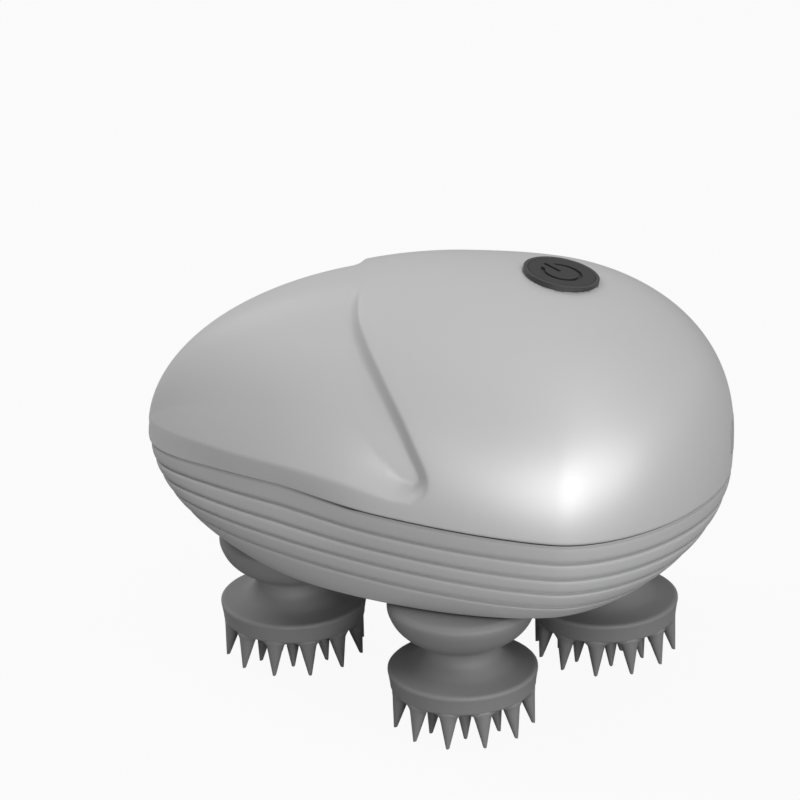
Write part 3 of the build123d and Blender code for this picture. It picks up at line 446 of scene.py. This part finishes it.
def wall_rows(s, depths, insets, inset, base):
    """Rows of points down the lower shell's side, each drawn in by its own inset.

    A depth of LAST_BAND and more is a share of the band between the last groove and the flat
    underside. The upper rows follow the parting line's drop, which fades out with depth. A row's
    height depends on its places, and they on its height, so both are found by repeated steps.
    """
    turn_round = np.linspace(0, 2 * math.pi, 361)[:-1]
    rows = []
    lean, rise = math.tan(s.tilt), (s.parting - base) / math.cos(s.tilt)
    for depth, extra in zip(depths, insets):
        at = np.full_like(turn_round, depth)
        if depth < 15:
            for _ in range(8):
                x, y = level(s, at, turn_round, inset)
                at = depth * (1 - 0.8 * nose_share(x) * (depth < s.slot + 0.2))
                at = at + droop(s, x) * (1 - depth / LAST_GROOVE)
        if depth >= LAST_BAND:
            at = np.full_like(turn_round, 16.0)
            for _ in range(25):
                x, y = level(s, at, turn_round, inset)
                at = LAST_GROOVE + (depth - LAST_BAND) * (rise - x * lean - LAST_GROOVE)
        x, y = level(s, at, turn_round, inset)
        if extra == s.reveal:
            extra = s.reveal * (1 - 0.85 * nose_share(x))
        middle = x.mean()
        x, y = pulled_in(x - middle, y, extra)
        x = x + middle
        fade = np.clip(1 - depth / 11.0, 0, 1)
        x, y = pulled_in(x, y, s.tuck * tuck_share(x) * fade)
        rows.append(np.stack([x, y, -at], -1))
    return np.array(rows)


def rib_rows(s):
    """Depths and insets of the lower shell's outer rows, from the dome's edge to the underside.

    The dark line comes first, then each rib, which bulges by (2 t - 1)**4 from its edges, with
    the groove under it, and last the plain band under the last groove.
    """
    start = s.slot + 0.12
    depths, insets = [0.0, 0.0, s.slot, start], [s.wall, s.reveal, s.reveal, 0.1]
    for groove in GROOVES:
        end = groove - s.groove / 2
        t = np.linspace(0, 1, 9)
        depths += list(start + 0.06 + (end - start - 0.12) * t)
        insets += list(0.02 + s.bulge * (2 * t - 1) ** 4)
        depths += [end, end + 0.1, groove, end + s.groove - 0.14, end + s.groove]
        insets += [s.bulge + 0.1, s.recess, s.recess, s.recess * 0.8, s.bulge + 0.1]
        start = end + s.groove
    t = np.linspace(0.01, 1, 26)
    depths += list(LAST_BAND + t)
    insets += list(0.02 + s.bulge * np.clip(1 - 5 * t, 0, 1) ** 3)
    return depths, insets


# ------------------------------------------------------------------ shader maths


class Value:
    """A shader socket: operators make Math nodes, and node() makes a node of any other kind."""

    tree = None

    def __init__(self, socket):
        self.socket = socket

    @classmethod
    def node(cls, kind, settings=None, inputs=None, out=0):
        """A node of a kind: its settings are made first, then its sockets get values or links."""
        made = cls.tree.nodes.new(kind)
        for key, value in (settings or {}).items():
            setattr(made, key, value)
        for key, value in (inputs or {}).items():
            if isinstance(value, Value):
                cls.tree.links.new(value.socket, made.inputs[key])
            else:
                made.inputs[key].default_value = value
        return cls(made.outputs[out]) if len(made.outputs) else None

    def maths(self, operation, other, turned=False):
        """A Math node of this value and another, in turned order where asked."""
        pair = (other, self) if turned else (self, other)
        return self.node("ShaderNodeMath", {"operation": operation}, dict(enumerate(pair)))

    def __add__(self, other):
        return self.maths("ADD", other)

    def __sub__(self, other):
        return self.maths("SUBTRACT", other)

    def __rsub__(self, other):
        return self.maths("SUBTRACT", other, True)

    def __mul__(self, other):
        return self.maths("MULTIPLY", other)

    def __truediv__(self, other):
        return self.maths("DIVIDE", other)

    def __rtruediv__(self, other):
        return self.maths("DIVIDE", other, True)

    __radd__, __rmul__ = __add__, __mul__


def blank(block):
    """Empty the nodes of a material or world, and let new nodes go there."""
    block.use_nodes = True
    Value.tree = block.node_tree
    Value.tree.nodes.clear()
    return block


def close(made, inputs):
    """End a material with a Principled shader."""
    shader = Value.node("ShaderNodeBsdfPrincipled", None, inputs)
    Value.node("ShaderNodeOutputMaterial", None, {"Surface": shader})
    return made


def place(scale=(1.0, 1.0, 1.0)):
    """Object coordinates, stretched."""
    where = Value.node("ShaderNodeTexCoord", out="Object")
    return Value.node("ShaderNodeMapping", None, {"Vector": where, "Scale": scale})


def noise(size, detail=3.0, rough=0.5, stretch=(1.0, 1.0, 1.0)):
    """Noise from 0 to 1 with features of about size metres."""
    inputs = {"Vector": place(stretch), "Scale": 1 / size, "Detail": detail, "Roughness": rough}
    return Value.node("ShaderNodeTexNoise", None, inputs)


def blend(share, one, two):
    """Colour between two, by a share."""
    return Value.node("ShaderNodeMix", {"data_type": "RGBA"}, {0: share, 6: one, 7: two}, out=2)


def bump(height, depth):
    """Normal from a height, of a depth in metres."""
    inputs = {"Height": height, "Strength": 1.0, "Distance": depth}
    return Value.node("ShaderNodeBump", None, inputs)


def limited(value):
    """A value kept between 0 and 1."""
    return value.maths("MAXIMUM", 0.0).maths("MINIMUM", 1.0)


# ------------------------------------------------------------------ finishes


def shade(colour, factor):
    """A colour made lighter or darker, with alpha."""
    return (*[min(1.0, channel * factor) for channel in colour], 1.0)


def moulded(
    name, colour, rough, grain=0.00025, depth=0.000004, drift=0.03, patch=0.02, **constants
):
    """Moulded plastic or rubber: slow drift of colour, fine grain in roughness and height."""
    made = blank(bpy.data.materials.new(name))
    slow, fine = noise(patch, 2.0), noise(grain, 2.0, 0.6)
    inputs = {
        "Base Color": blend(slow, shade(colour, 1 - drift), shade(colour, 1 + drift)),
        "Roughness": fine * 0.08 + slow * 0.04 + (rough - 0.06),
        "Normal": bump(fine, depth),
    }
    return close(made, {**inputs, **constants})


def ribbed(name, colour, s):
    """Ribbed plastic, with painted shade in the dark line under the dome.

    The height over the parting plane is (z - parting) cos(tilt) + x sin(tilt). The line is where
    it, with the parting line's drop towards the tail, is over minus the line's height; there the
    base colour is darkened to 0.08 of itself as painted shade, standing in for the shade inside
    the slot. It fades out beside the scoops, between the two places ahead of the middle.
    """
    made = blank(bpy.data.materials.new(name))
    slow, fine = noise(0.02, 2.0), noise(0.0003, 2.0, 0.6)
    x, z = (
        Value.node("ShaderNodeSeparateXYZ", None, {"Vector": place()}, out=axis) for axis in "XZ"
    )
    c, n = math.cos(s.tilt), math.sin(s.tilt)
    soft, gone, full = 0.04 * MM, -32 * MM, -14 * MM
    height = (z - s.parting * MM) * c + x * n
    behind = (x - DROOP_BACK * MM) / ((s.tail - DROOP_BACK) * MM)
    drop = behind.maths("MAXIMUM", 0.0) * (s.droop_tail * MM)
    # painted shade: this mask marks the slot under the dome, whose colour is darkened below in
    # place of its shade
    line = limited((height + drop + (s.slot + 0.08) * MM) / soft)
    line = line * limited((x - gone) / (full - gone))
    plain = blend(slow, shade(colour, 0.98), shade(colour, 1.02))
    return close(made, {
        # painted shade: inside the slot the plastic is coloured 0.08 of itself, a dark line
        # standing in for shade
        "Base Color": blend(line, plain, shade(colour, 0.08)),
        "Roughness": fine * 0.08 + slow * 0.04 + 0.56,
        "Normal": bump(fine, 0.00001),
    })


def metal(name, colour, rough, stretch=(1.0, 1.0, 12.0)):
    """Turned or drawn metal: streaks along its round in roughness and colour."""
    made = blank(bpy.data.materials.new(name))
    streak, slow = noise(0.0006, 3.0, 0.6, stretch), noise(0.008, 2.0)
    return close(made, {
        "Base Color": blend(slow, shade(colour, 0.9), shade(colour, 1.06)),
        "Metallic": 1.0,
        "Roughness": streak * 0.18 + (rough - 0.08),
        "Normal": bump(streak, 0.000003),
    })


def board(name, colour):
    """Glass-epoxy board: solder mask over a faint weave and lighter copper tracks."""
    made = blank(bpy.data.materials.new(name))
    weave = Value.node(
        "ShaderNodeTexVoronoi", {"distance": "CHEBYCHEV"}, {"Vector": place(), "Scale": 900.0}
    )
    tracks = Value.node(
        "ShaderNodeTexBrick", {"offset": 0.5},
        {"Vector": place(), "Scale": 260.0, "Mortar Size": 0.03}, out="Fac",
    )
    return close(made, {
        "Base Color": blend(tracks, shade(colour, 1.0), shade(colour, 1.8)),
        "Roughness": weave * 0.12 + 0.3,
        "Normal": bump(weave, 0.00001),
    })


def finishes(f):
    """Every finish of the massager by the record's slot name."""
    return {
        "shell_pearl": moulded("pearl_plastic", f.pearl, 0.43, 0.0004, 0.000002, 0.012, 0.03,
                               **{"Metallic": 0.4}),
        "shell_grey": ribbed("rib_plastic", f.ribs, bpy.context.scene.massager_housing),
        "head_silicone": moulded("head_silicone", f.silicone, 0.55, 0.0005, 0.000008, 0.05,
                                 **{"Specular IOR Level": 0.4}),
        "button_dark": moulded("button_plastic", f.button, 0.45, 0.0003, 0.000006, 0.03, 0.005),
        "trim_dark": moulded("ring_plastic", f.ring, 0.38, 0.0003, 0.000004, 0.03, 0.005),
        "shell_plug": moulded("plug_silicone", f.plug, 0.6, 0.0004, 0.000008),
        "seal_rubber": moulded("seal_rubber", (0.03, 0.03, 0.03), 0.6),
        "plastic_inner": moulded("inner_plastic", (0.5, 0.5, 0.48), 0.5),
        "gear_plastic": moulded("acetal", (0.75, 0.73, 0.66), 0.4),
        "battery_wrap": moulded("battery_wrap", (0.06, 0.2, 0.42), 0.3, 0.002, 0.00003),
        "lead_jacket": moulded("lead_jacket", (0.4, 0.03, 0.03), 0.45),
        "chip_black": moulded("chip_resin", (0.03, 0.03, 0.03), 0.5),
        "magnet": moulded("ferrite", (0.10, 0.10, 0.11), 0.55, 0.0006, 0.00002),
        "core_steel": metal("wound_core", (0.5, 0.3, 0.16), 0.4, (1.0, 1.0, 20.0)),
        "board_green": board("board_green", (0.03, 0.2, 0.09)),
        "gear_brass": metal("brass", (0.78, 0.6, 0.3), 0.3),
        "bush_brass": metal("bush_bronze", (0.7, 0.52, 0.28), 0.38),
        "terminal_brass": metal("terminal_brass", (0.8, 0.66, 0.36), 0.3),
        "steel": metal("ground_steel", (0.6, 0.6, 0.61), 0.28),
        "steel_can": metal("plated_steel", (0.56, 0.57, 0.58), 0.35),
        "socket_metal": metal("socket_nickel", (0.7, 0.7, 0.7), 0.22),
    }


def dressed(slot):
    """The finish of a slot, made once."""
    if not STOCK:
        made = finishes(bpy.context.scene.massager_finishes)
        STOCK.update({key: value.name for key, value in made.items()})
    return bpy.data.materials[STOCK[slot]]


# ------------------------------------------------------------------ operators


class MASSAGER_OT_upper_shell(bpy.types.Operator):
    """Build the dome with its finger scoops, button hole and plug pocket"""

    bl_idname = "massager.upper_shell"
    bl_label = "Upper shell"

    def execute(self, context):
        s = context.scene.massager_housing
        loops = upper_loops(s)
        shell = build("dome", *rings(loops, loops[0].mean(0), loops[-1].mean(0)))
        bpy.ops.mesh.primitive_cylinder_add(vertices=160, radius=s.button_hole * MM, depth=0.03)
        hole = context.object
        spot = np.array([[s.button_place, 0.0, crown(s, np.array(s.button_place))]])
        turned = Matrix.Rotation(s.tilt + s.button_lean, 4, "Y")
        hole.matrix_world = Matrix.Translation(Vector(tipped(s, spot)[0] * MM)) @ turned
        context.view_layer.update()
        pocket = rounded_bar(*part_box("port_plug"), 0.15 * MM, 1.5 * MM, 2.3 * MM, 5 * MM)
        finish(carve(shell, hole, pocket), dressed("shell_pearl"), "housing", "upper_shell")
        return {"FINISHED"}


class MASSAGER_OT_lower_shell(bpy.types.Operator):
    """Build the ribbed lower shell"""

    bl_idname = "massager.lower_shell"
    bl_label = "Lower shell"

    def execute(self, context):
        s = context.scene.massager_housing
        shrink = np.array([0.97, 0.9, 0.75, 0.5, 0.25])[:, None, None]
        outer = tipped(s, wall_rows(s, *rib_rows(s), 0.0, s.base))
        hub = outer[-1].mean(0)
        under = hub + (outer[-1] - hub) * shrink
        inner_depths = [0.05, 5.0, 10.0, *(LAST_BAND + 0.995 * np.linspace(0, 1, 12))]
        inner_insets = [0.0] * len(inner_depths)
        inner = tipped(s, wall_rows(s, inner_depths, inner_insets, s.wall, s.base + FLOOR))
        hub_in = inner[-1].mean(0)
        ceiling = hub_in + (inner[-1] - hub_in) * shrink
        loops = np.concatenate([ceiling[::-1], inner[::-1], outer, under])
        shell = build("ribbed_shell", *rings(loops, hub_in, hub))
        finish(shell, dressed("shell_grey"), "housing", "lower_shell")
        return {"FINISHED"}


class MASSAGER_OT_gasket(bpy.types.Operator):
    """Build the rubber ring between the shells"""

    bl_idname = "massager.gasket"
    bl_label = "Gasket"

    def execute(self, context):
        s = context.scene.massager_housing
        half = s.seal_height / 2
        insets = [s.seal, s.seal, s.seal + s.seal_width, s.seal + s.seal_width]
        loops = tipped(s, wall_rows(s, [-half, half, half, -half], insets, 0.0, s.base))
        index = np.arange(loops.shape[0] * loops.shape[1]).reshape(loops.shape[:2])
        below = np.roll(index, -1, 0)
        quads = np.stack([index, np.roll(index, -1, 1), np.roll(below, -1, 1), below], -1)
        faces = quads.reshape(-1, 4).tolist()
        band = build("gasket", loops.reshape(-1, 3), faces, smooth=False)
        finish(band, dressed("seal_rubber"), "housing", "shell_gasket")
        return {"FINISHED"}


def head_profile(s):
    """Turned outline of a head, from the disc's underside to the bowl's top, as a smooth line.

    Its points are radii with heights: the disc with its upright band, the neck, then the bowl.
    """
    b, n, d, low = s.bowl, s.neck, s.disc, s.root
    corners = np.array([
        (2.0, low), (8.0, low), (13.0, low), (d - 1.0, low + 0.05),
        (d - 0.55, low + 0.3), (d - 0.45, low + 1.0), (d - 0.15, low + 3.0), (d, low + 4.0),
        (d - 0.05, low + 4.3), (d - 0.4, low + 4.55), (d - 1.5, low + 4.7),
        (d - 3.2, low + 4.95), (d - 5.0, low + 5.5), (d - 6.4, low + 6.5),
        (n + 0.35, low + 7.9), (n, low + 9.2), (n + 0.1, low + 10.3), (n + 0.8, low + 11.0),
        (n + 1.9, low + 11.6), (0.70 * b, low + 12.2), (0.82 * b, low + 13.5),
        (0.91 * b, low + 15.05), (0.967 * b, low + 16.7), (b, low + 18.5),
        (b - 0.03, low + 19.2), (b - 0.35, s.top - 0.6), (b - 1.1, s.top - 0.1),
        (b - 2.4, s.top), (9.0, s.top), (3.0, s.top),
    ])
    run = np.concatenate([[0], np.cumsum(np.hypot(*np.diff(corners, axis=0).T))])
    at = np.linspace(0, run[-1], 150)
    radius = through(np.stack([run, corners[:, 0]], -1), at)
    height = through(np.stack([run, corners[:, 1]], -1), at)
    return radius, np.minimum(height, s.top)


def teeth(s, count, ring, phase):
    """Pointed teeth as stacked ovals whose outer side stays upright on a cylinder.

    Across the ring the oval's half width grows from the tip and flares at the root, so that
    neighbours meet in a round arch; along the radius it grows evenly.
    """
    flare = s.root + np.array([-0.8, -0.4, -0.1, SUNK])
    z = np.concatenate([[0.0, 0.12], np.linspace(0.5, s.root - 1.2, 9), flare])
    pitch = 2 * math.pi * ring / count
    widths = ((0, s.tip), (2, 0.85), (4, 1.38), (6, 1.95), (7, 2.45), (s.root, 0.5 * pitch))
    wide = through(widths, np.clip(z, 0, s.root))
    wide = np.where(z < 0.1, 0.6 * s.tip, wide)
    deep = np.minimum(np.where(z < 0.1, 0.6 * s.tip, s.tip + 0.21 * z), 2.1)
    around = np.linspace(0, 2 * math.pi, 25)[:-1]
    which = 2 * math.pi * np.arange(count) / count + phase
    radius = ring - deep[:, None] + deep[:, None] * np.cos(around)
    angle = which[:, None, None] + wide[:, None] * np.sin(around) / ring
    x, y, z = np.broadcast_arrays(radius * np.cos(angle), radius * np.sin(angle), z[:, None])
    return np.stack([x, y, z], -1), which, ring - deep[0]


class MASSAGER_OT_heads(bpy.types.Operator):
    """Build the four soft heads with their rings of teeth"""

    bl_idname = "massager.heads"
    bl_label = "Heads"

    def execute(self, context):
        s = context.scene.massager_head
        radius, height = (values[:, None] for values in head_profile(s))
        around = np.linspace(0, 2 * math.pi, 121)[:-1]
        body = np.broadcast_arrays(radius * np.cos(around), radius * np.sin(around), height)
        verts, faces = rings(np.stack(body, -1), (0, 0, s.root), (0, 0, s.top))
        for count, share, first in TEETH:
            made, which, middle = teeth(s, count, share * s.ring, math.radians(first))
            for tooth, angle in zip(made, which):
                tip = np.array([middle * math.cos(angle), middle * math.sin(angle), 0.0])
                root = tip + (0, 0, s.root + SUNK)
                more, quads = rings(tooth, tip, root, len(verts))
                verts = np.concatenate([verts, more])
                faces = faces + quads
        for name, twist in HEADS.items():
            low, high = (np.array(corner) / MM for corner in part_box("shaft_" + name))
            spot = np.array([*((low + high) / 2)[:2], 0.0])
            c, n = math.cos(math.radians(twist)), math.sin(math.radians(twist))
            turned = verts @ np.array([[c, n, 0], [-n, c, 0], [0, 0, 1]])
            head = build("massage_head_" + name, turned + spot, faces)
            finish(head, dressed("head_silicone"), "massage_head_" + name, "head_" + name)
        return {"FINISHED"}


class MASSAGER_OT_cad_finishes(bpy.types.Operator):
    """Give every remaining solid its own finish"""

    bl_idname = "massager.cad_finishes"
    bl_label = "Finishes of the inner pieces"

    def execute(self, context):
        for name, node in frame["nodes"].items():
            node.data.materials.clear()
            node.data.materials.append(dressed(SLOTS[name]))
        return {"FINISHED"}


class MASSAGER_OT_stage(bpy.types.Operator):
    """Set up the floor, the soft lamps, the world and the camera"""

    bl_idname = "massager.stage"
    bl_label = "Stage"

    def execute(self, context):
        scene = context.scene
        reach, drop = 3000.0, -0.2
        corners = [(-reach, -reach, drop), (reach, -reach, drop), (reach, reach, drop),
                   (-reach, reach, drop)]
        floor = build("floor", corners, [[0, 1, 2, 3]], smooth=False)
        floor.data.materials.append(blank(bpy.data.materials.new("pale_floor")))
        whole = (1.0, 1.0, 1.0, 1.0)
        seen = Value.node("ShaderNodeLightPath", out="Is Camera Ray")
        plain = Value.node("ShaderNodeBsdfDiffuse", None, {"Color": (0.32, 0.32, 0.32, 1.0)})
        white = Value.node("ShaderNodeEmission", None, {"Color": whole, "Strength": 1.0})
        mixed = Value.node("ShaderNodeMixShader", None, {0: seen * 0.94, 1: plain, 2: white})
        Value.node("ShaderNodeOutputMaterial", None, {"Surface": mixed})

        scene.world = blank(bpy.data.worlds.new("studio"))
        seen = Value.node("ShaderNodeLightPath", out="Is Camera Ray")
        through_glass = Value.node("ShaderNodeLightPath", out="Is Transmission Ray")
        open_sky = seen.maths("MAXIMUM", through_glass)
        fill = Value.node("ShaderNodeBackground", None, {"Color": whole, "Strength": 0.42})
        back = Value.node("ShaderNodeBackground", None, {"Color": whole, "Strength": 1.0})
        mixed = Value.node("ShaderNodeMixShader", None, {0: open_sky, 1: fill, 2: back})
        Value.node("ShaderNodeOutputWorld", None, {"Surface": mixed})

        aim, far = Vector((0, 0, 0.05)), 0.9
        for name, way, wide, tall, power, gloss in LAMPS:
            lamp = bpy.data.lights.new(name, "AREA")
            lamp.shape, lamp.size, lamp.size_y, lamp.energy = "ELLIPSE", wide, tall, power
            spot = bpy.data.objects.new(name, lamp)
            spot.visible_glossy, spot.visible_diffuse = gloss, not gloss
            spot.location = aim + Vector(way).normalized() * far
            spot.rotation_euler = (aim - spot.location).to_track_quat("-Z", "Y").to_euler()
            context.collection.objects.link(spot)

        around, over, roll = (math.radians(v) for v in (3.33, 23.1, -1.54))
        away, right_by, up_by = 917.3 * MM, -13.241 * MM, 53.787 * MM
        level_back = Vector((math.sin(around), -math.cos(around), 0)) * math.cos(over)
        back = level_back + Vector((0, 0, math.sin(over)))
        flat = Vector((math.cos(around), math.sin(around), 0))
        up = back.cross(flat)
        right = flat * math.cos(roll) + up * math.sin(roll)
        up = up * math.cos(roll) - flat * math.sin(roll)
        place = away * back + right_by * right + up_by * up + Vector((3.44 * MM, 0, 0))
        data = bpy.data.cameras.new("camera")
        data.sensor_width, data.lens = 36.0, 188.016
        data.clip_start, data.clip_end = 0.01, 50.0
        camera = bpy.data.objects.new("camera", data)
        camera.matrix_world = Matrix((
            (right.x, up.x, back.x, place.x), (right.y, up.y, back.y, place.y),
            (right.z, up.z, back.z, place.z), (0, 0, 0, 1),
        ))
        context.collection.objects.link(camera)
        scene.camera = camera
        scene.view_settings.view_transform = "Standard"
        return {"FINISHED"}


class MASSAGER_PT_panel(bpy.types.Panel):
    """Sizes, colours and pieces of the scalp massager"""

    bl_idname = "MASSAGER_PT_panel"
    bl_label = "Scalp massager"
    bl_space_type = "VIEW_3D"
    bl_region_type = "UI"
    bl_category = "Massager"

    def draw(self, context):
        for group in GROUPS:
            box = self.layout.box()
            settings = getattr(context.scene, group)
            for key in settings.__annotations__:
                box.prop(settings, key)
        for operator in OPERATORS:
            self.layout.operator(operator.bl_idname)


GROUPS = {
    "massager_housing": HousingSizes, "massager_head": HeadSizes, "massager_finishes": Finishes,
}
OPERATORS = (
    MASSAGER_OT_cad_finishes, MASSAGER_OT_upper_shell, MASSAGER_OT_lower_shell,
    MASSAGER_OT_gasket, MASSAGER_OT_heads, MASSAGER_OT_stage,
)


def register():
    """Add the classes and the settings they use."""
    for group in (*GROUPS.values(), *OPERATORS, MASSAGER_PT_panel):
        bpy.utils.register_class(group)
    for name, group in GROUPS.items():
        setattr(bpy.types.Scene, name, bpy.props.PointerProperty(type=group))


def unregister():
    """Take the settings and the classes away."""
    for name in GROUPS:
        delattr(bpy.types.Scene, name)
    for group in (MASSAGER_PT_panel, *reversed(OPERATORS), *GROUPS.values()):
        bpy.utils.unregister_class(group)


def main():
    """Build every piece in order."""
    register()
    bpy.ops.massager.cad_finishes()
    bpy.ops.massager.upper_shell()
    bpy.ops.massager.lower_shell()
    bpy.ops.massager.gasket()
    bpy.ops.massager.heads()
    bpy.ops.massager.stage()


if __name__ == "__main__":
    main()
